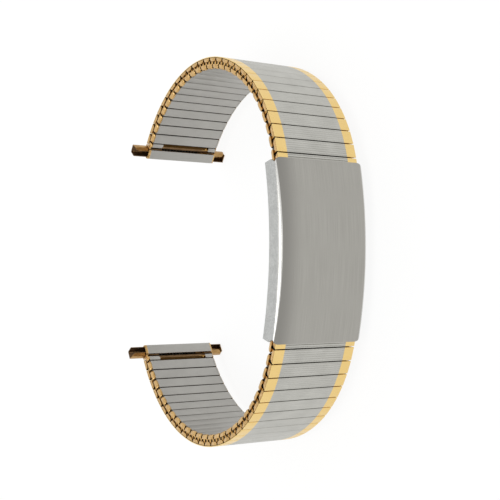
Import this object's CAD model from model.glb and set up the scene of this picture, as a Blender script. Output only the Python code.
"""Looks of an expansion watch band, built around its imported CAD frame.

The band lies on its far edge: +Z runs across it, +X points out of the identity
plate and +Y runs along it. Sizes are in millimetres in a link's own frame, where
X is outward from the outer surface, Y runs along the band and Z across it.
"""

import logging
import math
from dataclasses import dataclass
from enum import Enum, IntEnum
from typing import Callable, Iterable, Sequence

import bmesh
import bpy
from bmesh.types import BMEdge, BMesh, BMFace, BMVert
from mathutils import Matrix, Vector


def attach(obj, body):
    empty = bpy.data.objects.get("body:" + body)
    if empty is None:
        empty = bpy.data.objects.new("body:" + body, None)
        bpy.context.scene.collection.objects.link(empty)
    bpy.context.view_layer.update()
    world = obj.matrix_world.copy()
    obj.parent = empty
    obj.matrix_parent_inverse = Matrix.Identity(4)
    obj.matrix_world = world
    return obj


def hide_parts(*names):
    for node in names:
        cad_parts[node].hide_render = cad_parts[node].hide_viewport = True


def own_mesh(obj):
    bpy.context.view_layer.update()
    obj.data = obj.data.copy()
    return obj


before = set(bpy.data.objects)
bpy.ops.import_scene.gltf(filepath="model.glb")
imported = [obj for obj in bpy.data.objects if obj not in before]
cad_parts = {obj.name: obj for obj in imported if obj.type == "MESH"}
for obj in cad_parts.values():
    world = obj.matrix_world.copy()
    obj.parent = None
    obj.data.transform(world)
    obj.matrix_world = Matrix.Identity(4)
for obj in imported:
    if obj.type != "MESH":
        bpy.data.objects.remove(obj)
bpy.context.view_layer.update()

LOG = logging.getLogger("watch_band")
MM = 0.001
# Edges that turn more than this are rounded by soften
SHARP = math.radians(30)
# Points this close in millimetres count as level
LEVEL = 0.001
# A face whose middle is this close in millimetres to a border still counts as inside it
CLOSE = 0.01

Outline = list[tuple[float, float]]


class Side(Enum):
    """The two halves of the band on either side of the identity plate."""

    UPPER = "upper"
    LOWER = "lower"

    @property
    def way(self) -> int:
        """+1 where the half leaves the plate along +Y, -1 along -Y."""
        return 1 if self is Side.UPPER else -1


class Slot(Enum):
    """The record's material slots."""

    PLATE = "brushed_plate_steel"
    CAP = "cap_steel_gold_edged"
    INNER = "satin_link_steel"
    GOLD = "gold_plate"
    SPRING = "spring_steel"


class EndFace(IntEnum):
    """An end link's finishes, in the order of its materials."""

    STEEL = 0
    GOLD = 1
    INSIDE = 2


class LinkFace(IntEnum):
    """An inner link's finishes, in the order of its materials."""

    STEEL = 0
    GOLD = 1
    GAP = 2


class PlateFace(IntEnum):
    """The identity plate's finishes, in the order of its materials."""

    FACE = 0
    FLANGE = 1
    BEND = 2


# Sizes that the pieces share


@dataclass(frozen=True)
class BandPath:
    """The line that the outer surface follows, counted in half pitches from the plate's middle."""

    pitch: float = 2.45
    depth: float = 2.26
    plate_r: float = 66.0
    shoulder_r: float = 27.5
    side_r: float = 32.0
    plate_end: int = 12
    shoulder_end: int = 27
    last_gap: int = 65
    middle_x: float = -29.089169
    middle_z: float = 10.6

    def half_turn(self, radius: float) -> float:
        """The turn of half a pitch on a stretch of this outer radius, in radians."""
        return self.pitch / 2 / (radius - self.depth)

    def turn(self, station: float) -> float:
        """The turn from the plate's middle to a station, in radians."""
        on_plate = min(station, self.plate_end)
        on_shoulder = min(max(station - self.plate_end, 0), self.shoulder_end - self.plate_end)
        on_side = max(station - self.shoulder_end, 0)
        return (
            on_plate * self.half_turn(self.plate_r)
            + on_shoulder * self.half_turn(self.shoulder_r)
            + on_side * self.half_turn(self.side_r)
        )

    @property
    def plate_centre(self) -> Vector:
        """The centre that the plate bends about."""
        return Vector((-self.plate_r - self.middle_x, 0, self.middle_z))

    def place(self, station: float) -> Vector:
        """The point of the outer surface at a station."""
        centre = self.plate_centre
        if station > self.plate_end:
            centre = centre + (self.plate_r - self.shoulder_r) * outward(self.turn(self.plate_end))
        if station > self.shoulder_end:
            centre = centre + (self.shoulder_r - self.side_r) * outward(self.turn(self.shoulder_end))
        radius = self.plate_r if station <= self.plate_end else self.shoulder_r
        radius = self.side_r if station > self.shoulder_end else radius
        return centre + radius * outward(self.turn(station))

    def matrix(self, station: float) -> Matrix:
        """Takes a link's own frame in millimetres to the row frame in metres.

        Args:
            station: Half pitches from the plate's middle, below zero on the lower half.

        Returns:
            The transform, a mirror image on the lower half.
        """
        mirror = Matrix.Diagonal((1, -1 if station < 0 else 1, 1, 1))
        turned = Matrix.Rotation(self.turn(abs(station)), 4, "Z")
        return Matrix.Scale(MM, 4) @ mirror @ Matrix.Translation(self.place(abs(station))) @ turned


def outward(turn: float) -> Vector:
    """The outward direction at a turn from the plate's middle."""
    return Vector((math.cos(turn), math.sin(turn), 0))


PATH = BandPath()


@dataclass(frozen=True)
class LinkSizes:
    """Depths below the outer surface and widths that the rows share."""

    band_w: float = 16.0
    row_h: float = 0.88
    inner_top: float = 1.38
    depth: float = 2.26
    link_top: float = 0.16
    tube_end: float = 7.5
    side_from: float = 7.8
    wall: float = 0.12
    outer_leg: float = 0.565
    inner_leg: float = 1.775

    @property
    def edge(self) -> float:
        """Distance from the band's middle to either edge."""
        return self.band_w / 2


LINK = LinkSizes()


# Mesh tools


def prism(bm: BMesh, outline: Sequence[tuple[float, float]], low: float, high: float) -> list[BMVert]:
    """Extrudes an outline in X and Y across the band.

    Args:
        bm: The mesh that the solid is added to.
        outline: Corners in order, either way round.
        low: Where it starts across the band.
        high: Where it ends across the band.

    Returns:
        The new solid's vertices.
    """
    corners = [bm.verts.new((x, y, low)) for x, y in outline]
    base = bm.faces.new(corners)
    grown = bmesh.ops.extrude_face_region(bm, geom=[base])["geom"]
    raised = [part for part in grown if isinstance(part, BMVert)]
    bmesh.ops.translate(bm, vec=(0, 0, high - low), verts=raised)
    verts = corners + raised
    faces = {face for vert in verts for face in vert.link_faces}
    bmesh.ops.recalc_face_normals(bm, faces=list(faces))
    return verts


def block(bm: BMesh, low: Sequence[float], high: Sequence[float]) -> list[BMVert]:
    """Adds a block between two corners and returns its vertices."""
    centre = (Vector(low) + Vector(high)) / 2
    size = Vector(high) - Vector(low)
    matrix = Matrix.Translation(centre) @ Matrix.Diagonal((*size, 1))
    return bmesh.ops.create_cube(bm, size=1, matrix=matrix)["verts"]


def arc(centre: tuple[float, float], radius: float, start: float, end: float, steps: int) -> Outline:
    """Points on an arc, with its angles in degrees, both ends included."""
    angles = [math.radians(start + (end - start) * i / steps) for i in range(steps + 1)]
    return [(centre[0] + radius * math.cos(a), centre[1] + radius * math.sin(a)) for a in angles]


def round_edges(bm: BMesh, edges: Sequence[BMEdge], width: float, segments: int = 2) -> None:
    """Bevels some edges into a rounding that reaches a width on each side of them."""
    bmesh.ops.bevel(bm, geom=edges, offset=width, offset_type="OFFSET", segments=segments,
                    profile=0.5, affect="EDGES", clamp_overlap=True, material=-1)


def soften(bm: BMesh, verts: Iterable[BMVert], width: float, segments: int = 2,
           wanted: Callable[[Vector, Vector], bool] | None = None) -> None:
    """Rounds the sharp edges among some vertices.

    Args:
        bm: The mesh.
        verts: Vertices of the solid to soften.
        width: How far the rounding reaches on each side of an edge.
        segments: Faces across the rounding.
        wanted: Says from an edge's two ends whether it is rounded. All are by default.
    """
    inside = set(verts)
    edges = [
        edge
        for edge in bm.edges
        if edge.verts[0] in inside
        and edge.verts[1] in inside
        and edge.calc_face_angle(0) > SHARP
        and (wanted is None or wanted(edge.verts[0].co, edge.verts[1].co))
    ]
    round_edges(bm, edges, width, segments)


def scatter(template: BMesh, stations: Iterable[float]) -> BMesh:
    """Copies a template to each station of the band.

    Args:
        template: A mesh in a link's own frame, which is freed.
        stations: Half pitches from the plate's middle.

    Returns:
        One mesh in the row frame, in metres.
    """
    mesh = bpy.data.meshes.new("template")
    template.to_mesh(mesh)
    template.free()
    bm = bmesh.new()
    for station in stations:
        known_verts = len(bm.verts)
        known_faces = len(bm.faces)
        bm.from_mesh(mesh)
        bm.verts.ensure_lookup_table()
        bm.faces.ensure_lookup_table()
        bmesh.ops.transform(bm, matrix=PATH.matrix(station), verts=bm.verts[known_verts:])
        if station < 0:
            bmesh.ops.reverse_faces(bm, faces=bm.faces[known_faces:])
    bpy.data.meshes.remove(mesh)
    return bm


def piece(name: str, bm: BMesh, materials: Sequence[bpy.types.Material], body: str,
          nodes: Sequence[str] = (), smooth: float = 35) -> bpy.types.Object:
    """Makes an object of a mesh and tells the frame what it is.

    Args:
        name: The piece's name.
        bm: Its mesh in the row frame, which is freed.
        materials: Its materials, in the order of the faces' indices.
        body: The CAD body that it rides on.
        nodes: CAD nodes that it stands for.
        smooth: Edges flatter than this many degrees are shaded smooth.

    Returns:
        The new object.
    """
    limit = math.radians(smooth)
    for face in bm.faces:
        face.smooth = True
    for edge in bm.edges:
        edge.smooth = edge.calc_face_angle(0) < limit
    mesh = bpy.data.meshes.new(name)
    bm.to_mesh(mesh)
    bm.free()
    for material in materials:
        mesh.materials.append(material)
    obj = bpy.data.objects.new(name, mesh)
    bpy.context.scene.collection.objects.link(obj)
    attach(obj, body)
    if nodes:
        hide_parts(*nodes)
    LOG.info("%s on %s: %d faces", name, body, len(mesh.polygons))
    return obj


# Materials


def linear(code: str) -> tuple[float, float, float, float]:
    """Turns an sRGB hex code such as #C0C0C0 into a linear colour with full alpha."""
    parts = [int(code[i:i + 2], 16) / 255 for i in (1, 3, 5)]
    red, green, blue = (p / 12.92 if p <= 0.04045 else ((p + 0.055) / 1.055) ** 2.4 for p in parts)
    return (red, green, blue, 1.0)


def add_node(tree: bpy.types.NodeTree, kind: str, settings: dict | None = None,
             links: dict | None = None) -> bpy.types.Node:
    """Adds one node.

    Args:
        tree: The node tree.
        kind: The node's type name.
        settings: Attribute names, or input names or numbers as "in:NAME", with their values.
        links: Input names or numbers with the output socket that feeds each.

    Returns:
        The new node.
    """
    node = tree.nodes.new(kind)
    for key, value in (settings or {}).items():
        if key.startswith("in:"):
            place = key[3:]
            node.inputs[int(place) if place.isdigit() else place].default_value = value
        else:
            setattr(node, key, value)
    for key, source in (links or {}).items():
        tree.links.new(source, node.inputs[key])
    return node


@dataclass(frozen=True)
class MetalFinish:
    """One metal surface: its colour, its grain and how that grain catches the light."""

    name: str
    colour: str
    low_colour: str
    roughness: float
    spread: float
    grain_mm: tuple[float, float, float]
    bump_mm: float
    blotch_mm: float = 3.0
    blotch_share: float = 0.4
    anisotropic: float = 0.0
    round_plate: bool = False
    # The noise values between which the colour and the roughness go from one end to the other
    tint_from: float = 0.35
    tint_to: float = 0.65
    rough_from: float = 0.3
    rough_to: float = 0.7
    # For the plate's face: the colour beside the near bend, how far from the band's edge it
    # starts, and how far past that edge it is strongest
    bend_colour: str = ""
    bend_reach_mm: float = 4.0
    bend_past_mm: float = 0.3

    def beside_bend(self, tree: bpy.types.NodeTree, plain: bpy.types.NodeSocket) -> bpy.types.NodeSocket:
        """Darkens the plate's face towards its near bend, where the brush couldn't reach.

        Args:
            tree: The node tree.
            plain: The colour without the darker strip.

        Returns:
            The colour with it.
        """
        where = add_node(tree, "ShaderNodeTexCoord").outputs["Object"]
        parts = add_node(tree, "ShaderNodeSeparateXYZ", links={0: where})
        edge = (PATH.middle_z + LINK.edge) * MM
        near = add_node(tree, "ShaderNodeMapRange",
                        {"in:From Min": edge - self.bend_reach_mm * MM,
                         "in:From Max": edge + self.bend_past_mm * MM,
                         "interpolation_type": "SMOOTHSTEP"}, {"Value": parts.outputs["Z"]})
        return add_node(tree, "ShaderNodeMix", {"data_type": "RGBA", "in:7": linear(self.bend_colour)},
                        {0: near.outputs[0], 6: plain}).outputs[2]

    def vector(self, tree: bpy.types.NodeTree) -> bpy.types.NodeSocket:
        """The coordinates that the grain reads, in metres.

        On the plate the grain follows its bend: the distance from the bend's centre is
        added to the way across, so that one line runs on from the face to the flange.
        """
        where = add_node(tree, "ShaderNodeTexCoord").outputs["Object"]
        if not self.round_plate:
            return where
        centre = PATH.plate_centre * MM
        moved = add_node(tree, "ShaderNodeVectorMath", {"operation": "SUBTRACT", "in:1": tuple(centre)},
                         {0: where})
        parts = add_node(tree, "ShaderNodeSeparateXYZ", links={0: moved.outputs[0]})
        flat = add_node(tree, "ShaderNodeCombineXYZ",
                        links={"X": parts.outputs["X"], "Y": parts.outputs["Y"]})
        reach = add_node(tree, "ShaderNodeVectorMath", {"operation": "LENGTH"}, {0: flat.outputs[0]})
        across = add_node(tree, "ShaderNodeMath", {"operation": "ADD"},
                          {0: parts.outputs["Z"], 1: reach.outputs["Value"]})
        return add_node(tree, "ShaderNodeCombineXYZ",
                        links={"Y": parts.outputs["Y"], "Z": across.outputs[0]}).outputs[0]

    def build(self) -> bpy.types.Material:
        """Makes the material's nodes and returns it."""
        material = bpy.data.materials.new(self.name)
        material.use_nodes = True
        tree = material.node_tree
        shader = tree.nodes["Principled BSDF"]
        where = self.vector(tree)
        scale = tuple(1 / (size * MM) for size in self.grain_mm)
        mapped = add_node(tree, "ShaderNodeMapping", {"in:Scale": scale}, {"Vector": where})
        grain = add_node(tree, "ShaderNodeTexNoise", {"in:Scale": 1.0, "in:Detail": 3.0},
                         {"Vector": mapped.outputs[0]})
        blotches = add_node(tree, "ShaderNodeTexNoise",
                            {"in:Scale": 1 / (self.blotch_mm * MM), "in:Detail": 2.0}, {"Vector": where})
        both = add_node(tree, "ShaderNodeMix", {"data_type": "FLOAT", "in:0": self.blotch_share},
                        {2: grain.outputs["Fac"], 3: blotches.outputs["Fac"]})
        tint = add_node(tree, "ShaderNodeMapRange",
                        {"in:From Min": self.tint_from, "in:From Max": self.tint_to},
                        {"Value": both.outputs[0]})
        colour = add_node(tree, "ShaderNodeMix",
                          {"data_type": "RGBA", "in:6": linear(self.low_colour), "in:7": linear(self.colour)},
                          {0: tint.outputs[0]})
        rough = add_node(tree, "ShaderNodeMapRange",
                         {"in:From Min": self.rough_from, "in:From Max": self.rough_to,
                          "in:To Min": self.roughness - self.spread,
                          "in:To Max": self.roughness + self.spread},
                         {"Value": grain.outputs["Fac"]})
        bump = add_node(tree, "ShaderNodeBump", {"in:Strength": 1.0, "in:Distance": self.bump_mm * MM},
                        {"Height": grain.outputs["Fac"]})
        shader.inputs["Metallic"].default_value = 1.0
        shader.inputs["Anisotropic"].default_value = self.anisotropic
        shown = self.beside_bend(tree, colour.outputs[2]) if self.bend_colour else colour.outputs[2]
        tree.links.new(shown, shader.inputs["Base Color"])
        tree.links.new(rough.outputs[0], shader.inputs["Roughness"])
        tree.links.new(bump.outputs[0], shader.inputs["Normal"])
        return material


class Finishes:
    """Every finish on the band, made once."""

    def __init__(self) -> None:
        """Builds the materials."""
        # Stainless sheet brushed along the band: long fine streaks, soft grey, faintly warm
        self.plate_face = MetalFinish("brushed stainless sheet", "#AEACA6", "#A19F99", 0.4, 0.08,
                                      (1.0, 9.0, 0.09), 0.005, 6.0, 0.12, round_plate=True,
                                      bend_colour="#8E8C87").build()
        # The same sheet on its flanges, fine blasted: an even lighter grey with a small sparkle
        self.plate_flange = MetalFinish("fine blasted stainless sheet", "#C9CAC8", "#A9AAA8", 0.5, 0.1,
                                        (0.2, 0.2, 0.2), 0.012, 2.0, 0.2).build()
        # Its bends, burnished by the folding tool and by wear: a bright strip between the two
        self.plate_bend = MetalFinish("burnished bend of stainless sheet", "#D6D5D1", "#C4C3BF", 0.26, 0.05,
                                      (1.0, 6.0, 0.12), 0.002, 3.0, 0.2, round_plate=True).build()
        # Stainless cap foil rolled across the band: a cool grey whose grain runs with the grooves
        self.cap_steel = MetalFinish("rolled stainless cap foil", "#C4C3BD", "#B4B3AD", 0.36, 0.06,
                                     (0.1, 0.1, 4.0), 0.003).build()
        # Polished gold plating over the cap's ends: light warm yellow, nearly smooth
        self.cap_gold = MetalFinish("polished gold plating", "#EFD08C", "#EBCB85", 0.3, 0.03,
                                    (0.3, 0.3, 0.9), 0.0006).build()
        # Gold plating on stamped link sides: deeper, with darker worn patches
        self.side_gold = MetalFinish("worn gold plating on stamped sides", "#DDB981", "#B99357", 0.27, 0.08,
                                     (0.25, 0.25, 0.25), 0.006, 0.8).build()
        # Drawn staple wire, gold plated and burnished by rubbing: smooth, browner than the links' sides
        self.staple_gold = MetalFinish("burnished gold staple wire", "#D2A864", "#94703C", 0.2, 0.05,
                                       (0.2, 0.2, 0.6), 0.002, 0.6).build()
        # Annealed stainless tube towards the wrist: matt, even, faintly warm grey
        self.inner_steel = MetalFinish("satin stainless tube", "#B6B4AF", "#ABA9A4", 0.45, 0.05,
                                       (0.08, 0.08, 1.6), 0.003).build()
        # Gold plating on the arms' folded sheet, browned by handling
        self.arm_gold = MetalFinish("browned gold plating on folded sheet", "#BE9A66", "#9A774A", 0.3, 0.08,
                                    (0.2, 0.2, 1.2), 0.004, 1.2).build()
        # Unplated metal in the gaps between the links, with old oil on it: dark brown lines
        self.gap_metal = MetalFinish("oil darkened metal between the links", "#5A3F1C", "#392710", 0.5, 0.08,
                                     (0.2, 0.2, 0.2), 0.003, 1.0).build()
        # The same sheet inside the trough, unplated and dull with wear: dark brown
        self.arm_inside = MetalFinish("tarnished inside of folded sheet", "#957A5C", "#735A40", 0.45, 0.08,
                                      (0.2, 0.2, 1.2), 0.004, 1.2).build()
        # Hard drawn spring wire and strip, oiled: dark grey
        self.spring = MetalFinish("oiled spring steel", "#7C7A74", "#5D5B55", 0.32, 0.06,
                                  (0.06, 0.06, 0.8), 0.002).build()


# Outer row


@dataclass(frozen=True)
class GroovedCap:
    """A cap of the outer row: grooved steel in the middle, smooth gold at both ends."""

    width: float = 2.48
    thickness: float = 0.15
    skirt_t: float = 0.1
    skirt_d: float = 0.38
    round_r: float = 0.09
    gold_w: float = 1.9
    # The skirts stop short of the band's edges, where only the cap's own sheet shows
    skirt_end: float = 7.6
    grooves: int = 6
    # The real grooves lie about 0.33 mm apart, drawn a little coarser so that they show
    groove_pitch: float = 0.4
    groove_w: float = 0.15
    groove_d: float = 0.06

    def outline(self, grooved: bool, skirts: bool = True) -> Outline:
        """The cap's section along the band.

        Args:
            grooved: Whether the top has its grooves.
            skirts: Whether the sheet is folded down along both sides.

        Returns:
            The section's corners in X and Y.
        """
        half = self.width / 2
        r = self.round_r
        top = arc((-r, -half + r), r, -90, 0, 3)
        if grooved:
            for i in range(self.grooves):
                y = (i - (self.grooves - 1) / 2) * self.groove_pitch
                top += [(0, y - self.groove_w / 2), (-self.groove_d, y), (0, y + self.groove_w / 2)]
        top += arc((-r, half - r), r, 0, 90, 3)
        if not skirts:
            return top + [(-self.thickness, half), (-self.thickness, -half)]
        inner = half - self.skirt_t
        return top + [(-self.skirt_d, half), (-self.skirt_d, inner), (-self.thickness, inner),
                      (-self.thickness, -inner), (-self.skirt_d, -inner), (-self.skirt_d, -half)]

    def template(self) -> BMesh:
        """One cap in its own frame, with material 0 steel and 1 gold."""
        bm = bmesh.new()
        steel_end = LINK.edge - self.gold_w
        prism(bm, self.outline(True), -steel_end, steel_end)
        steel_faces = set(bm.faces)
        for low, high in ((-self.skirt_end, -steel_end), (steel_end, self.skirt_end)):
            prism(bm, self.outline(False), low, high)
        for low, high in ((-LINK.edge, -self.skirt_end), (self.skirt_end, LINK.edge)):
            prism(bm, self.outline(False, False), low, high)
        for face in bm.faces:
            face.material_index = 0 if face in steel_faces else 1
        return bm


@dataclass(frozen=True)
class OuterLink:
    """A hollow link of the outer row with its two stamped gold sides."""

    width: float = 2.22
    side_bevel: float = 0.42
    # The sides stop a little short of the cap, which leaves the dark seam that shows there
    seam_to: float = 0.24
    edge_r: float = 0.05
    # Faces turned along the band more than this lie in the gaps
    gap_facing: float = 0.9

    def side_outline(self) -> Outline:
        """The outline of a gold side, narrower towards the inner row."""
        half = self.width / 2
        low = -LINK.row_h
        return [(-self.seam_to, -half), (-self.seam_to, half), (low + self.side_bevel, half),
                (low, half - self.side_bevel), (low, -half + self.side_bevel),
                (low + self.side_bevel, -half)]

    def template(self) -> BMesh:
        """One link in its own frame, with material 0 gold and 1 the dull metal in its gaps."""
        bm = bmesh.new()
        half = self.width / 2
        top = -LINK.link_top
        tube = prism(bm, [(top, -half), (top, half), (-LINK.row_h, half), (-LINK.row_h, -half)],
                     -LINK.tube_end, LINK.tube_end)
        hollow_ends(bm, tube)
        block(bm, (top - LINK.wall, -half, -LINK.side_from), (top, half, -LINK.tube_end))
        block(bm, (top - LINK.wall, -half, LINK.tube_end), (top, half, LINK.side_from))
        hidden = set(bm.faces)
        for sign in (-1, 1):
            ends = sorted((sign * LINK.side_from, sign * LINK.edge))
            side = prism(bm, self.side_outline(), *ends)
            soften(bm, side, self.edge_r, 2, lambda a, b: on_edge(a, b, sign))
        for face in bm.faces:
            in_gap = abs(face.normal.y) > self.gap_facing
            face.material_index = 1 if face in hidden or in_gap else 0
        return bm


def on_edge(a: Vector, b: Vector, sign: int) -> bool:
    """Whether an edge lies in the band's outermost plane on one side."""
    return min(a.z * sign, b.z * sign) > LINK.edge - LEVEL


def hollow_ends(bm: BMesh, tube: Sequence[BMVert], pocket: float = 2.0) -> None:
    """Opens both ends of a link's tube as deep as its staple legs show.

    Args:
        bm: The mesh.
        tube: The tube's vertices.
        pocket: How deep each end is open.
    """
    inside = set(tube)
    ends: list[BMFace] = [
        face for face in bm.faces
        if all(vert in inside for vert in face.verts) and abs(face.normal.z) > 0.9
    ]
    for face in ends:
        way = -math.copysign(1, face.calc_center_median().z)
        bmesh.ops.inset_individual(bm, faces=[face], thickness=LINK.wall, use_even_offset=True)
        grown = bmesh.ops.extrude_discrete_faces(bm, faces=[face])["faces"]
        bmesh.ops.translate(bm, vec=(0, 0, way * pocket), verts=list(grown[0].verts))


# Inner row


def drawn_in(level: float, roll_r: float) -> float:
    """How far a sheet that rolls over to the band's edge is drawn in at a distance from the middle."""
    into = max(roll_r - (LINK.edge - level), 0)
    return roll_r - math.sqrt(max(roll_r ** 2 - into ** 2, 0))


@dataclass(frozen=True)
class InnerLink:
    """A hollow link of the inner row: satin steel tube and face, gold sides folded onto the face."""

    width: float = 2.28
    face_r: float = 0.2
    side_r: float = 0.55
    far_side_r: float = 0.25
    # The near gold sides stand this much further apart than the steel faces
    side_gap: float = 0.06
    # The gold sheet rolls over from the band's edge onto the face and ends there
    roll_r: float = 0.42
    roll_to: float = 7.42
    roll_depth: float = 1.97
    roll_steps: int = 5
    fold_shares: tuple[float, ...] = (0, 0.3, 0.6, 1)
    # The gold side narrows along the band by this share of what the roll draws it in
    roll_narrows: float = 0.25
    # Faces turned along the band more than this lie in the gaps, on the tube and on the sides
    tube_gap_facing: float = 0.95
    side_gap_facing: float = 0.8

    def outline(self, top: float, half: float, corner_r: float, deep: float, steps: int) -> Outline:
        """A section along the band, rounded towards the wrist.

        Args:
            top: Depth where the section starts.
            half: Half its width along the band.
            corner_r: Radius of its two deep corners.
            deep: Depth of its face towards the wrist.
            steps: Edges round each corner.

        Returns:
            The section's corners in X and Y.
        """
        centre = corner_r - deep
        return ([(-top, half), (-top, -half)]
                + arc((centre, -half + corner_r), corner_r, 270, 180, steps)
                + arc((centre, half - corner_r), corner_r, 180, 90, steps))

    def rolled(self, top: float, level: float) -> Outline:
        """The section of the gold side at one distance from the band's middle.

        Args:
            top: Depth where the section starts.
            level: Distance from the band's middle, below zero on the far side.

        Returns:
            The section's corners, drawn in by the roll near the band's edge.
        """
        drawn = drawn_in(abs(level), self.roll_r)
        narrowing = drawn * self.roll_narrows
        half = self.width / 2 - narrowing - (self.side_gap if level > 0 else 0)
        corner_r = (self.side_r if level > 0 else self.far_side_r) - narrowing
        return self.outline(top, half, corner_r, LINK.depth - drawn, 4)

    def loft(self, bm: BMesh, top: float, levels: Sequence[float]) -> None:
        """Joins the gold side's sections at several distances from the middle into one solid.

        Args:
            bm: The mesh.
            top: Depth where the sections start.
            levels: Distances across the band, with their sign.
        """
        rings = [[bm.verts.new((x, y, level)) for x, y in self.rolled(top, level)] for level in levels]
        loops = [[bm.edges.new((ring[i - 1], vert)) for i, vert in enumerate(ring)] for ring in rings]
        for loop, following in zip(loops, loops[1:]):
            bmesh.ops.bridge_loops(bm, edges=loop + following)
        for loop in (loops[0], loops[-1]):
            bmesh.ops.edgeloop_fill(bm, edges=loop)
        faces = {face for ring in rings for vert in ring for face in vert.link_faces}
        bmesh.ops.recalc_face_normals(bm, faces=list(faces))

    def template(self) -> BMesh:
        """One link in its own frame, its faces numbered as LinkFace says."""
        bm = bmesh.new()
        outline = self.outline(LINK.inner_top, self.width / 2, self.face_r, LINK.depth, 5)
        tube = prism(bm, outline, -LINK.tube_end, LINK.tube_end)
        hollow_ends(bm, tube)
        tube_faces = set(bm.faces)
        steps = [i / self.roll_steps for i in range(self.roll_steps + 1)]
        outside = [LINK.edge - (LINK.edge - LINK.side_from) * step for step in steps]
        folded = [LINK.side_from - (LINK.side_from - self.roll_to) * share for share in self.fold_shares]
        for sign in (-1, 1):
            self.loft(bm, LINK.inner_top, [sign * level for level in outside])
            self.loft(bm, self.roll_depth, [sign * level for level in folded])
        for face in bm.faces:
            on_tube = face in tube_faces
            folded_far = -LINK.side_from < face.calc_center_median().z < 0
            if abs(face.normal.y) > (self.tube_gap_facing if on_tube else self.side_gap_facing):
                face.material_index = LinkFace.GAP
            else:
                face.material_index = LinkFace.STEEL if on_tube or folded_far else LinkFace.GOLD
        return bm


# Staples


@dataclass(frozen=True)
class Staple:
    """The two U staples of one station: a flat yoke at each edge with a leg in either row."""

    yoke_from: float = 7.55
    yoke_t: float = 0.2
    yoke_w: float = 0.62
    leg_t: float = 0.1
    leg_w: float = 0.44
    leg_l: float = 3.0
    round_r: float = 0.07

    def template(self) -> BMesh:
        """Both staples in their own frame."""
        bm = bmesh.new()
        outer = self.yoke_from + self.yoke_t
        for sign in (-1, 1):
            ends = sorted((sign * self.yoke_from, sign * outer))
            yoke = block(bm, (-LINK.inner_leg - self.leg_t / 2, -self.yoke_w / 2, ends[0]),
                         (-LINK.outer_leg + self.leg_t / 2, self.yoke_w / 2, ends[1]))
            soften(bm, yoke, self.round_r, 3)
            ends = sorted((sign * (self.yoke_from - self.leg_l), sign * (self.yoke_from + self.leg_t)))
            for leg in (LINK.outer_leg, LINK.inner_leg):
                block(bm, (-leg - self.leg_t / 2, -self.leg_w / 2, ends[0]),
                      (-leg + self.leg_t / 2, self.leg_w / 2, ends[1]))
        return bm


# The rows of one body


@dataclass(frozen=True)
class Stretch:
    """One stretch of the band: where its rows start and end, in stations."""

    name: str
    body: str
    outer: tuple[int, int]
    inner: tuple[int, int]
    staples: tuple[float, float]
    way: int = 1

    def stations(self, ends: tuple[float, float], step: float) -> list[float]:
        """The stations of a row from its ends, on this stretch's half of the band."""
        count = round((ends[1] - ends[0]) / step)
        return [self.way * (ends[0] + i * step) for i in range(count + 1)]


# The first and last outer link of each stretch on either side of the plate, in stations
STRETCH_ENDS = {1: (14, 24), 2: (26, 36), 3: (38, 50), 4: (52, 64)}
# The stretches that the band's stretching moves away from the one before, on tilting staples
TILTING = (2, 4)


def stretches() -> list[Stretch]:
    """Every stretch of links, from the plate's own to the last ones at both ends."""
    found = [Stretch("plate", "plate_section", (-12, 12), (-13, 13), (-12.5, 12.5))]
    for side in Side:
        for number, (first, last) in STRETCH_ENDS.items():
            name = f"{side.value}_{number}"
            at_end = number == max(STRETCH_ENDS)
            last_inner = last - 1 if at_end else last + 1
            last_staple = last + 0.5 if at_end else last_inner - 0.5
            first_staple = first + 0.5 if number in TILTING else first - 0.5
            found.append(Stretch(name, name, (first, last), (first + 1, last_inner),
                                 (first_staple, last_staple), side.way))
    return found


@dataclass(frozen=True)
class Rows:
    """The outer row, the inner row and the staples of every stretch."""

    finishes: Finishes

    def build(self) -> None:
        """Builds the rows of every stretch, and the staples that tilt when it stretches."""
        for part in stretches():
            self.build_stretch(part)
        for side in Side:
            for number in TILTING:
                name = f"{side.value}_{number}_stretch"
                bm = scatter(Staple().template(), [side.way * (STRETCH_ENDS[number][0] - 0.5)])
                piece(f"tilting_staples.{side.value}_{number}", bm, [self.finishes.staple_gold], name,
                      [f"{name}_staples"])

    def build_stretch(self, part: Stretch) -> None:
        """Builds one stretch's caps, links and staples."""
        gold = self.finishes.side_gold
        dull = self.finishes.gap_metal
        outer = part.stations(part.outer, 2)
        inner = part.stations(part.inner, 2)
        staples = part.stations(part.staples, 1)
        piece(f"grooved_caps.{part.name}", scatter(GroovedCap().template(), outer),
              [self.finishes.cap_steel, self.finishes.cap_gold], part.body, [f"{part.name}_caps"])
        piece(f"outer_links.{part.name}", scatter(OuterLink().template(), outer), [gold, dull], part.body,
              [f"{part.name}_outer_links"])
        piece(f"inner_links.{part.name}", scatter(InnerLink().template(), inner),
              [self.finishes.inner_steel, gold, dull], part.body, [f"{part.name}_inner_links"])
        piece(f"staples.{part.name}", scatter(Staple().template(), staples), [self.finishes.staple_gold],
              part.body, [f"{part.name}_staples"])


# Identity plate


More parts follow.
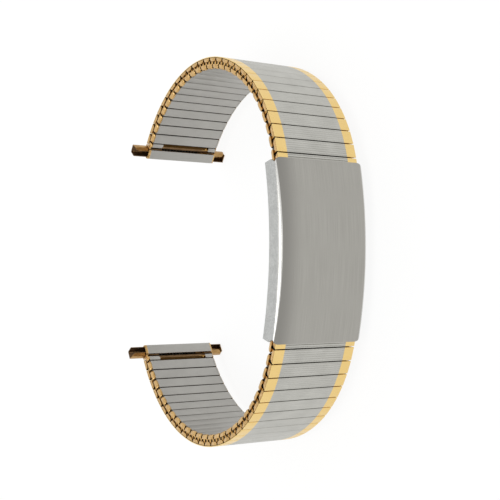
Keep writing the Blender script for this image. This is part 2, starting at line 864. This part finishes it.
@dataclass(frozen=True)
class IdentityPlate:
    """The folded sheet over the band: a convex face and a flange over each edge."""

    length: float = 31.2
    face_above: float = 0.41
    sheet_t: float = 0.36
    flange_t: float = 0.45
    flange_d: float = 3.3
    gap: float = 0.45
    bend_r: float = 1.0
    # The bend stops short of the face's own direction, in degrees, which leaves a crisp crease
    crease: float = 22.0
    # How much of the near bend's radius is lost towards the plate's ends
    taper: float = 0.75
    near_corner_r: float = 1.0
    far_corner_r: float = 1.4
    notch_w: float = 0.8
    notch_l: float = 0.7
    steps: int = 60
    # Faces that lean more than this across the band are the bends, and above the second the flanges
    bend_lean: float = 0.1
    flange_lean: float = 0.93
    # Points across half the face, crowded towards the crease by the power
    face_points: int = 16
    crowding: float = 1.7
    flange_points: int = 6
    bend_points: int = 10
    # Edges flatter than this many degrees are shaded smooth, which keeps the crease
    smooth: float = 18
    broken_edge: float = 0.04
    # Edges that turn more than this many degrees are broken
    broken_from: float = 50

    @property
    def radius(self) -> float:
        """Distance from the bend's centre to the plate's face."""
        return PATH.plate_r + self.face_above

    @property
    def edge(self) -> float:
        """Distance from the band's middle to a flange's outside."""
        return LINK.edge + self.gap + self.flange_t

    def section(self) -> list[Vector]:
        """Points of the sheet's outside from one flange's rim over the face to the other's."""
        rim = self.radius - self.flange_d
        half = [(rim, self.edge)]
        start = self.radius - self.bend_r * math.cos(math.radians(self.crease))
        notch_end = self.radius - self.sheet_t - self.notch_w
        flange = [(i + 1) / self.flange_points for i in range(self.flange_points)]
        half += [(rim + (notch_end - rim) * share, self.edge) for share in flange]
        half += [(start, self.edge)]
        half += arc((start, self.edge - self.bend_r), self.bend_r, 90, self.crease, self.bend_points)[1:]
        flat = half[-1][1]
        shares = [((i + 1) / self.face_points) ** self.crowding for i in range(self.face_points)]
        half += [(self.radius, flat * (1 - share)) for share in shares]
        points = [Vector((x, 0, z)) for x, z in half]
        return points + [Vector((p.x, 0, -p.z)) for p in reversed(points[:-1])]

    def narrowed(self, x: float, z: float, share: float) -> tuple[float, float]:
        """Moves a point of the section as the near bend narrows towards the plate's ends.

        Args:
            x: Distance from the bend's centre.
            z: Distance across from the band's middle, above zero.
            share: The bend's radius here, as a share of its radius in the middle.

        Returns:
            The point's new distances.
        """
        crease = math.radians(self.crease)
        crease_in = self.bend_r * (1 - math.sin(crease))
        bend_d = self.bend_r * math.cos(crease)
        inward = self.edge - z
        below = self.radius - x
        if inward > crease_in:
            stretched = (self.edge - crease_in * share) / (self.edge - crease_in)
            inward = self.edge - (self.edge - inward) * stretched
        else:
            inward *= share
        if below > bend_d:
            stretched = (self.flange_d - bend_d * share) / (self.flange_d - bend_d)
            below = self.flange_d - (self.flange_d - below) * stretched
        else:
            below *= share
        return self.radius - below, self.edge - inward

    def end_cut(self, x: float, z: float) -> float:
        """How far the sheet stops short of its full length at a point of its section.

        Args:
            x: Distance from the bend's centre.
            z: Distance across from the band's middle.

        Returns:
            The cut in millimetres.
        """
        below = self.radius - x
        corner_r = self.near_corner_r if z > 0 else self.far_corner_r
        over = max(abs(z) - (self.edge - corner_r), 0)
        rounded = corner_r - math.sqrt(max(corner_r ** 2 - over ** 2, 0))
        from_tip = abs(below - self.sheet_t - self.notch_w / 2) / (self.notch_w / 2)
        notch = self.notch_l * max(1 - from_tip, 0) if abs(z) > self.edge - self.bend_r else 0
        if below < self.sheet_t + self.notch_w / 2:
            return max(min(rounded, self.notch_l), notch)
        return notch

    def finish_of(self, lean: float) -> PlateFace:
        """The finish of a face by how far it leans across the band."""
        if lean > self.flange_lean:
            return PlateFace.FLANGE
        return PlateFace.BEND if lean > self.bend_lean else PlateFace.FACE

    def mesh(self) -> BMesh:
        """The sheet in the row frame, its faces numbered as PlateFace says."""
        bm = bmesh.new()
        half_turn = self.length / 2 / self.radius
        verts = [bm.verts.new(p) for p in self.section()]
        edges = [bm.edges.new(pair) for pair in zip(verts, verts[1:])]
        bmesh.ops.rotate(bm, verts=verts, matrix=Matrix.Rotation(-half_turn, 3, "Z"))
        bmesh.ops.spin(bm, geom=verts + edges, cent=(0, 0, 0), axis=(0, 0, 1), angle=2 * half_turn,
                       steps=self.steps, use_merge=False, use_duplicate=False)
        for vert in bm.verts:
            reach = math.hypot(vert.co.x, vert.co.y)
            turn = math.atan2(vert.co.y, vert.co.x)
            across = vert.co.z
            if across > 0:
                reach, across = self.narrowed(reach, across, 1 - self.taper * (turn / half_turn) ** 2)
            share = 1 - self.end_cut(reach, across) / (self.length / 2)
            vert.co = Vector((reach * math.cos(turn * share), reach * math.sin(turn * share), across))
        bmesh.ops.recalc_face_normals(bm, faces=bm.faces)
        top = max(bm.faces, key=lambda f: f.calc_center_median().x)
        if top.normal.x < 0:
            bmesh.ops.reverse_faces(bm, faces=bm.faces)
        for face in bm.faces:
            face.material_index = self.finish_of(abs(face.normal.z))
        bmesh.ops.solidify(bm, geom=bm.faces[:], thickness=self.sheet_t)
        matrix = Matrix.Scale(MM, 4) @ Matrix.Translation(PATH.plate_centre)
        bmesh.ops.transform(bm, matrix=matrix, verts=bm.verts)
        return bm

    def build(self, finishes: Finishes) -> None:
        """Builds the plate."""
        dressed = [finishes.plate_face, finishes.plate_flange, finishes.plate_bend]
        plate = piece("identity_plate", self.mesh(), dressed, "plate_section", ["id_plate"],
                      smooth=self.smooth)
        rounding = plate.modifiers.new("broken edges", "BEVEL")
        rounding.width = self.broken_edge * MM
        rounding.segments = 2
        rounding.limit_method = "ANGLE"
        rounding.angle_limit = math.radians(self.broken_from)


# Ends


@dataclass(frozen=True)
class EndSizes:
    """Sizes of an end link and of what it carries, from the last gap."""

    length: float = 2.65
    wall: float = 0.15
    tube_half: float = 1.19
    tab_end: float = -0.32
    lip_start: float = 0.38
    gold_from: float = 7.5
    far_gold_from: float = 7.78
    roll_r: float = 0.42
    roll_from: float = 0.3
    # Where the sheet is cut across so that it rolls smoothly, as shares of the roll
    roll_cuts: tuple[float, ...] = (0, 0.35, 0.6, 0.8, 0.93)
    # The lip's sheet rolls less, because the arms slide close under it, from this far past the tabs
    lip_roll: float = 0.12
    lip_past: float = 0.1
    # Faces turned more than this along or across the band are the gold folded edges, down to a
    # depth below the wrist face, a little beyond the tabs and the lip, and on the tabs' own sides
    folded_facing: float = 0.5
    fold_d: float = 0.2
    fold_reach: float = 0.05
    tab_side_from: float = 5.0
    bar_at: float = 1.25
    bar_r: float = 0.75
    arm_wall: float = 0.2
    near_tip: float = 11.4
    # The near arm is drawn this much short of its solid, as it shows in the photograph
    near_short: float = 0.2
    far_tip: float = -10.6
    near_back: float = 4.8
    far_back: float = -4.0
    spring_mid: float = 0.4
    wire_r: float = 0.07
    wire_sides: int = 8
    curls: int = 6
    curl_steps: int = 20
    # Room between a coil and what it stands against
    coil_gap: float = 0.01
    # The near tab's corner beside the window lies in this reach across the band
    tab_corner_from: float = 4.5
    tab_corner_to: float = 5.6
    # It runs further than this through the sheet
    tab_corner_t: float = 0.05
    tab_corner_r: float = 0.4
    # Edges that turn more than this many degrees are rounded
    edge_from: float = 40
    edge_r: float = 0.04

    @property
    def arm_r(self) -> float:
        """Outside radius of an arm's round back."""
        return self.bar_r + self.arm_wall

    @property
    def axis(self) -> tuple[float, float]:
        """Where the spring bar's axis passes, in a link's X and Y."""
        return (-LINK.depth / 2, self.bar_at)


END = EndSizes()


@dataclass(frozen=True)
class TroughArm:
    """A telescoping arm of folded sheet, a trough whose wall beside the band leans over it."""

    back: float = 0.18
    rim: float = 2.06
    band_side: float = 0.3
    end_side: float = 2.2
    sheet_t: float = 0.14
    fold_r: float = 0.3
    lean_from: float = 1.3
    lean: float = 0.52
    # The leaning wall's corner is cut away in a curve at the tip
    cut_l: float = 1.1
    cut_share: float = 0.8
    step: float = 0.15
    closed_t: float = 0.12
    # How far below the rim the closed tip starts, and where it ends inside the sheet
    closed_below: float = 0.1
    closed_share: float = 0.9
    # Points down the leaning wall, round each fold and down the other wall
    lean_points: int = 10
    fold_points: int = 4
    wall_points: int = 3

    @property
    def wall_l(self) -> float:
        """How far the leaning wall reaches from its rim to the fold at the back."""
        return self.rim - self.back - self.fold_r

    def along(self, depth: float) -> float:
        """Where the leaning wall's outside stands along the band at a depth."""
        return self.band_side + self.lean * max(depth - self.lean_from, 0) / (self.rim - self.lean_from)

    def section(self) -> Outline:
        """Points of the sheet's outside from the leaning wall's rim round the back to the other rim."""
        r = self.fold_r
        depths = [self.rim - self.wall_l * i / self.lean_points for i in range(self.lean_points)]
        points = [(-depth, self.along(depth)) for depth in depths]
        points += arc((-self.back - r, self.band_side + r), r, -90, 0, self.fold_points)
        points += arc((-self.back - r, self.end_side - r), r, 0, 90, self.fold_points)
        shares = [(i + 1) / self.wall_points for i in range(self.wall_points)]
        return points + [(-self.back - r - self.wall_l * share, self.end_side) for share in shares]

    def trimmed(self, spot: Vector, tip: float) -> Vector:
        """Where a point of the sheet goes when the leaning wall's corner is cut away.

        Args:
            spot: A point of the whole sheet.
            tip: Where the arm's tip is across the band.

        Returns:
            The point's new place, the same one away from the corner.
        """
        depth = -spot.x
        if spot.y > self.band_side + self.lean + CLOSE or depth < self.back + self.fold_r:
            return spot
        from_tip = min(abs(spot.z - tip) / self.cut_l, 1)
        cut = self.cut_share * (1 - math.sqrt(1 - (1 - from_tip) ** 2))
        share = cut + (1 - cut) * (self.rim - depth) / self.wall_l
        depth = self.rim - share * self.wall_l
        return Vector((-depth, self.along(depth), spot.z))

    def template(self, start: float, tip: float, closed: bool) -> BMesh:
        """One arm in a link's own frame, with material 0 outside and 1 inside.

        Args:
            start: Where the arm starts across the band, inside the end link.
            tip: Where its tip is.
            closed: Whether a thin wall closes the tip.

        Returns:
            The arm's mesh.
        """
        bm = bmesh.new()
        verts = [bm.verts.new((x, y, start)) for x, y in self.section()]
        edges = [bm.edges.new(pair) for pair in zip(verts, verts[1:])]
        steps = round(abs(tip - start) / self.step)
        bmesh.ops.spin(bm, geom=verts + edges, cent=(0, 0, 0), axis=(0, 0, 1), angle=0,
                       dvec=(0, 0, (tip - start) / steps), steps=steps, use_merge=False, use_duplicate=False)
        for vert in bm.verts:
            vert.co = self.trimmed(vert.co, tip)
        bmesh.ops.recalc_face_normals(bm, faces=bm.faces)
        back = max(bm.faces, key=lambda f: f.calc_center_median().x)
        if back.normal.x < 0:
            bmesh.ops.reverse_faces(bm, faces=bm.faces)
        outside = set(bm.faces)
        bmesh.ops.solidify(bm, geom=bm.faces[:], thickness=self.sheet_t)
        for face in bm.faces:
            # The sheet's rims, which are narrower than any other face, keep the outside's gold
            narrow = face.calc_area() < 0.5 * self.sheet_t * self.step
            face.material_index = 0 if face in outside or narrow else 1
        if closed:
            inset = self.sheet_t * self.closed_share
            ends = sorted((tip, tip + math.copysign(self.closed_t, start - tip)))
            block(bm, (-self.rim + self.closed_below, self.band_side + inset, ends[0]),
                  (-self.back - inset, self.end_side - inset, ends[1]))
        return bm


@dataclass(frozen=True)
class Liner:
    """The browned sheet inside the end link, whose rim shows as a line across the window."""

    # Depth of its rim towards the wrist, and where it starts and ends along and across the band
    rim: float = 1.97
    sheet_t: float = 0.1
    start: float = -1.06
    edge: float = -0.5
    far: float = -5.45
    near: float = 5.3
    corner_r: float = 0.4
    round_r: float = 0.045
    # Faces turned towards the wrist more than this are the sheet's flat sides
    flat_facing: float = 0.95

    def template(self) -> BMesh:
        """The sheet in a link's own frame, with material 0 on its worn rim and 1 elsewhere."""
        bm = bmesh.new()
        sheet = block(bm, (-self.rim, self.start, self.far), (self.sheet_t - self.rim, self.edge, self.near))
        corner = [edge for edge in bm.edges
                  if all(abs(vert.co.y - self.edge) < LEVEL and vert.co.z < 0 for vert in edge.verts)]
        round_edges(bm, corner, self.corner_r, 5)
        soften(bm, bm.verts, self.round_r, 2)
        for face in bm.faces:
            spot = face.calc_center_median()
            at_rim = spot.y > self.edge - self.round_r or spot.z < self.far + self.corner_r
            flat = abs(face.normal.x) > self.flat_facing
            face.material_index = 1 if flat or not at_rim else 0
        return bm


@dataclass(frozen=True)
class BandEnd:
    """One end of the band: the end link, its two telescoping arms and their springs."""

    side: Side
    finishes: Finishes

    @property
    def station(self) -> int:
        """The station of the band's last gap at this end."""
        return self.side.way * PATH.last_gap

    @property
    def body(self) -> str:
        """The CAD body of this end's link."""
        return f"{self.side.value}_end"

    @staticmethod
    def finish_of(spot: Vector, normal: Vector) -> EndFace:
        """Which finish a face of the end link has.

        Args:
            spot: The face's middle in the link's own frame.
            normal: Which way it faces there.

        Returns:
            The finish.
        """
        depth = -spot.x
        if spot.z > END.gold_from - CLOSE or spot.z < -END.far_gold_from + CLOSE:
            return EndFace.GOLD
        folded_edge = abs(normal.y) > END.folded_facing and depth > LINK.depth - END.fold_d
        if folded_edge and END.tab_end - END.fold_reach < spot.y < END.lip_start + END.fold_reach:
            return EndFace.GOLD
        if abs(normal.z) > END.folded_facing and depth > LINK.inner_top and abs(spot.z) > END.tab_side_from:
            return EndFace.GOLD
        inside = END.wall < depth < LINK.depth - LINK.wall + CLOSE
        if inside and LINK.wall - END.tube_half < spot.y < END.length - END.wall + CLOSE:
            return EndFace.INSIDE
        return EndFace.STEEL

    def end_link(self) -> None:
        """Softens a merged copy of the end link's solid and dresses each face by where it lies."""
        node = f"{self.side.value}_end_link"
        bm = bmesh.new()
        bm.from_mesh(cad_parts[node].data)
        bmesh.ops.remove_doubles(bm, verts=bm.verts, dist=1e-6)
        bmesh.ops.dissolve_limit(bm, angle_limit=math.radians(1), verts=bm.verts, edges=bm.edges)
        back = PATH.matrix(self.station).inverted()
        self.roll_sides(bm, back)
        corner = [edge for edge in bm.edges if self.at_tab_corner(back, edge)]
        round_edges(bm, corner, END.tab_corner_r * MM, 4)
        edges = [edge for edge in bm.edges if edge.calc_face_angle(0) > math.radians(END.edge_from)]
        round_edges(bm, edges, END.edge_r * MM)
        for face in bm.faces:
            normal = (back.to_3x3() @ face.normal).normalized()
            face.material_index = self.finish_of(back @ face.calc_center_median(), normal)
        finishes = [self.finishes.inner_steel, self.finishes.side_gold, self.finishes.arm_inside]
        piece(f"end_link.{self.side.value}", bm, finishes, self.body, [node])

    @staticmethod
    def roll_sides(bm: BMesh, back: Matrix) -> None:
        """Bends the wrist face over towards both edges of the band, as on the inner links.

        Args:
            bm: The end link's mesh in the row frame.
            back: Takes the row frame to the link's own.
        """
        levels = [END.gold_from] + [LINK.edge - END.roll_r * (1 - share) for share in END.roll_cuts]
        there = back.inverted()
        for level in levels:
            for sign in (-1, 1):
                spot = there @ Vector((0, 0, sign * level))
                bmesh.ops.bisect_plane(bm, geom=bm.verts[:] + bm.edges[:] + bm.faces[:], dist=1e-7,
                                       plane_co=spot, plane_no=(0, 0, 1))
        for vert in bm.verts:
            place = back @ vert.co
            drawn = drawn_in(abs(place.z), END.roll_r)
            if place.y > END.tab_end + END.lip_past:
                drawn *= END.lip_roll
            if -place.x > LINK.depth - END.roll_from:
                place.x += drawn
                vert.co = there @ place

    @staticmethod
    def at_tab_corner(back: Matrix, edge: BMEdge) -> bool:
        """Whether an edge is the near tab's corner beside the window, which is well rounded."""
        ends = [back @ vert.co for vert in edge.verts]
        there = all(
            abs(end.y - END.tab_end) < 2 * CLOSE
            and END.tab_corner_from < end.z < END.tab_corner_to
            and -end.x > LINK.depth - END.fold_d
            for end in ends
        )
        return there and abs(ends[0].x - ends[1].x) > END.tab_corner_t

    def arm(self, name: str, start: float, tip: float) -> None:
        """Builds one arm.

        Args:
            name: "near" or "far".
            start: Where it starts across the band.
            tip: Where its tip is.
        """
        node = f"{self.side.value}_{name}_arm"
        bm = scatter(TroughArm().template(start, tip, name == "far"), [self.station])
        piece(f"{name}_arm.{self.side.value}", bm, [self.finishes.arm_gold, self.finishes.arm_inside],
              node, [node])

    def liner(self) -> None:
        """Builds the browned sheet inside the end link."""
        piece(f"window_liner.{self.side.value}", scatter(Liner().template(), [self.station]),
              [self.finishes.arm_gold, self.finishes.gap_metal], self.body)

    def coil(self, low: float, high: float) -> BMesh:
        """One arm spring: a wire section spun along the bar's axis."""
        bm = bmesh.new()
        x, y = END.axis
        steps = END.curls * END.curl_steps
        rise = (high - low - 2 * END.wire_r) / steps
        circle = bmesh.ops.create_circle(bm, cap_ends=False, radius=END.wire_r, segments=END.wire_sides)
        ring = circle["verts"]
        turned = Matrix.Rotation(math.pi / 2, 3, "X")
        bmesh.ops.rotate(bm, verts=ring, matrix=turned, cent=(0, 0, 0))
        radius = END.arm_r - END.wire_r
        bmesh.ops.translate(bm, verts=ring, vec=(x + radius, y, low + END.wire_r))
        edges = list({edge for vert in ring for edge in vert.link_edges})
        bmesh.ops.spin(bm, geom=ring + edges, cent=(x, y, 0), axis=(0, 0, 1), dvec=(0, 0, rise),
                       angle=END.curls * 2 * math.pi, steps=steps, use_merge=False, use_duplicate=False)
        open_edges = [edge for edge in bm.edges if edge.is_boundary]
        bmesh.ops.holes_fill(bm, edges=open_edges, sides=0)
        bmesh.ops.recalc_face_normals(bm, faces=bm.faces)
        return bm

    def springs(self) -> None:
        """Builds the two arm springs, each of which shortens as its arm slides in."""
        node = f"{self.side.value}_arm_springs"
        for name, low, high in (("near", END.spring_mid + END.coil_gap, END.near_back - END.coil_gap),
                                ("far", END.far_back + END.coil_gap, END.spring_mid - END.coil_gap)):
            bm = scatter(self.coil(low, high), [self.station])
            obj = piece(f"{name}_spring.{self.side.value}", bm, [self.finishes.spring], self.body,
                        [node])
            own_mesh(obj)

    def build(self) -> None:
        """Builds the whole end."""
        self.end_link()
        self.liner()
        self.arm("near", END.near_back, END.near_tip - END.near_short)
        self.arm("far", END.far_back, END.far_tip)
        self.springs()


# Studio


@dataclass(frozen=True)
class Studio:
    """The camera at the photograph's angle, the pale floor and the soft light."""

    # The camera that was fitted to the photograph: its turns in degrees, place in metres and focal
    # length in pixels of a frame as wide as the photograph's
    yaw: float = 29.5833
    pitch: float = -0.75684
    roll: float = 0.722977
    place: tuple[float, float, float] = (0.154302, -0.001922, 0.095861)
    focal_px: float = 902.186
    frame_px: int = 500
    floor_size: float = 4.0
    floor_below: float = 0.0002
    # How much of the floor's white is its own where the eye meets it, over its lit paper
    floor_white: float = 0.85
    # The panel overhead: the way to it, where its edge starts and ends, and its strength
    panel: tuple[float, float, float] = (0.49, -0.2, 0.87)
    panel_edge: tuple[float, float] = (0.88, 0.97)
    panel_strength: float = 3.0

    def camera(self) -> None:
        """Places the camera that was fitted to the photograph."""
        yaw = math.radians(self.yaw)
        pitch = math.radians(self.pitch)
        roll = math.radians(self.roll)
        ahead = Vector((-math.cos(yaw) * math.cos(pitch), -math.sin(pitch), -math.sin(yaw) * math.cos(pitch)))
        right = ahead.cross(Vector((0, 1, 0))).normalized()
        up = right.cross(ahead)
        level_right = math.cos(roll) * right + math.sin(roll) * up
        level_up = -math.sin(roll) * right + math.cos(roll) * up
        camera = bpy.data.objects.new("camera", bpy.data.cameras.new("camera"))
        bpy.context.scene.collection.objects.link(camera)
        matrix = Matrix((level_right, level_up, -ahead)).transposed().to_4x4()
        matrix.translation = Vector(self.place)
        camera.matrix_world = matrix
        camera.data.lens = self.focal_px / self.frame_px * camera.data.sensor_width
        camera.data.clip_start = 0.01
        bpy.context.scene.camera = camera

    def floor(self) -> None:
        """Lays a plain pale floor that shows white and keeps a faint shadow."""
        bm = bmesh.new()
        bmesh.ops.create_grid(bm, x_segments=1, y_segments=1, size=self.floor_size)
        mesh = bpy.data.meshes.new("floor")
        bm.to_mesh(mesh)
        bm.free()
        floor = bpy.data.objects.new("floor", mesh)
        floor.location = (0, 0, -self.floor_below)
        bpy.context.scene.collection.objects.link(floor)
        material = bpy.data.materials.new("matt white paper")
        material.use_nodes = True
        tree = material.node_tree
        output = tree.nodes["Material Output"]
        paper = tree.nodes["Principled BSDF"]
        paper.inputs["Base Color"].default_value = linear("#F4F4F2")
        paper.inputs["Roughness"].default_value = 0.9
        rays = add_node(tree, "ShaderNodeLightPath")
        seen = add_node(tree, "ShaderNodeMath", {"operation": "MAXIMUM"},
                        {0: rays.outputs["Is Camera Ray"], 1: rays.outputs["Is Glossy Ray"]})
        seen = add_node(tree, "ShaderNodeMath", {"operation": "MAXIMUM"},
                        {0: seen.outputs[0], 1: rays.outputs["Is Transmission Ray"]})
        share = add_node(tree, "ShaderNodeMath", {"operation": "MULTIPLY", "in:1": self.floor_white},
                         {0: seen.outputs[0]})
        white = add_node(tree, "ShaderNodeEmission", {"in:Color": (1, 1, 1, 1), "in:Strength": 1.0})
        mix = add_node(tree, "ShaderNodeMixShader",
                       links={0: share.outputs[0], 1: paper.outputs[0], 2: white.outputs[0]})
        tree.links.new(mix.outputs[0], output.inputs["Surface"])
        mesh.materials.append(material)

    def world(self) -> None:
        """Surrounds the band with even white light and one large bright panel overhead."""
        world = bpy.data.worlds.new("studio")
        bpy.context.scene.world = world
        world.use_nodes = True
        tree = world.node_tree
        background = tree.nodes["Background"]
        where = add_node(tree, "ShaderNodeTexCoord").outputs["Generated"]
        panel = Vector(self.panel).normalized()
        near = add_node(tree, "ShaderNodeVectorMath", {"operation": "DOT_PRODUCT", "in:1": tuple(panel)},
                        {0: where})
        light = add_node(tree, "ShaderNodeMapRange",
                         {"in:From Min": self.panel_edge[0], "in:From Max": self.panel_edge[1],
                          "in:To Min": 1.0, "in:To Max": self.panel_strength,
                          "interpolation_type": "SMOOTHSTEP"}, {"Value": near.outputs["Value"]})
        background.inputs["Color"].default_value = (1, 1, 1, 1)
        tree.links.new(light.outputs[0], background.inputs["Strength"])

    def build(self) -> None:
        """Builds the studio."""
        self.camera()
        self.floor()
        self.world()
        bpy.context.scene.view_settings.view_transform = "Standard"


def dress_hidden(finishes: Finishes) -> None:
    """Gives the leaf springs, whose solids are right as they are, their spring steel."""
    for name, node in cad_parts.items():
        if name.endswith("leaf_springs"):
            node.data.materials.clear()
            node.data.materials.append(finishes.spring)


def main() -> None:
    """Builds the whole scene in order."""
    logging.basicConfig(level=logging.INFO, format="%(name)s: %(message)s")
    Studio().build()
    finishes = Finishes()
    Rows(finishes).build()
    IdentityPlate().build(finishes)
    for side in Side:
        BandEnd(side, finishes).build()
    dress_hidden(finishes)


if __name__ == "__main__":
    main()
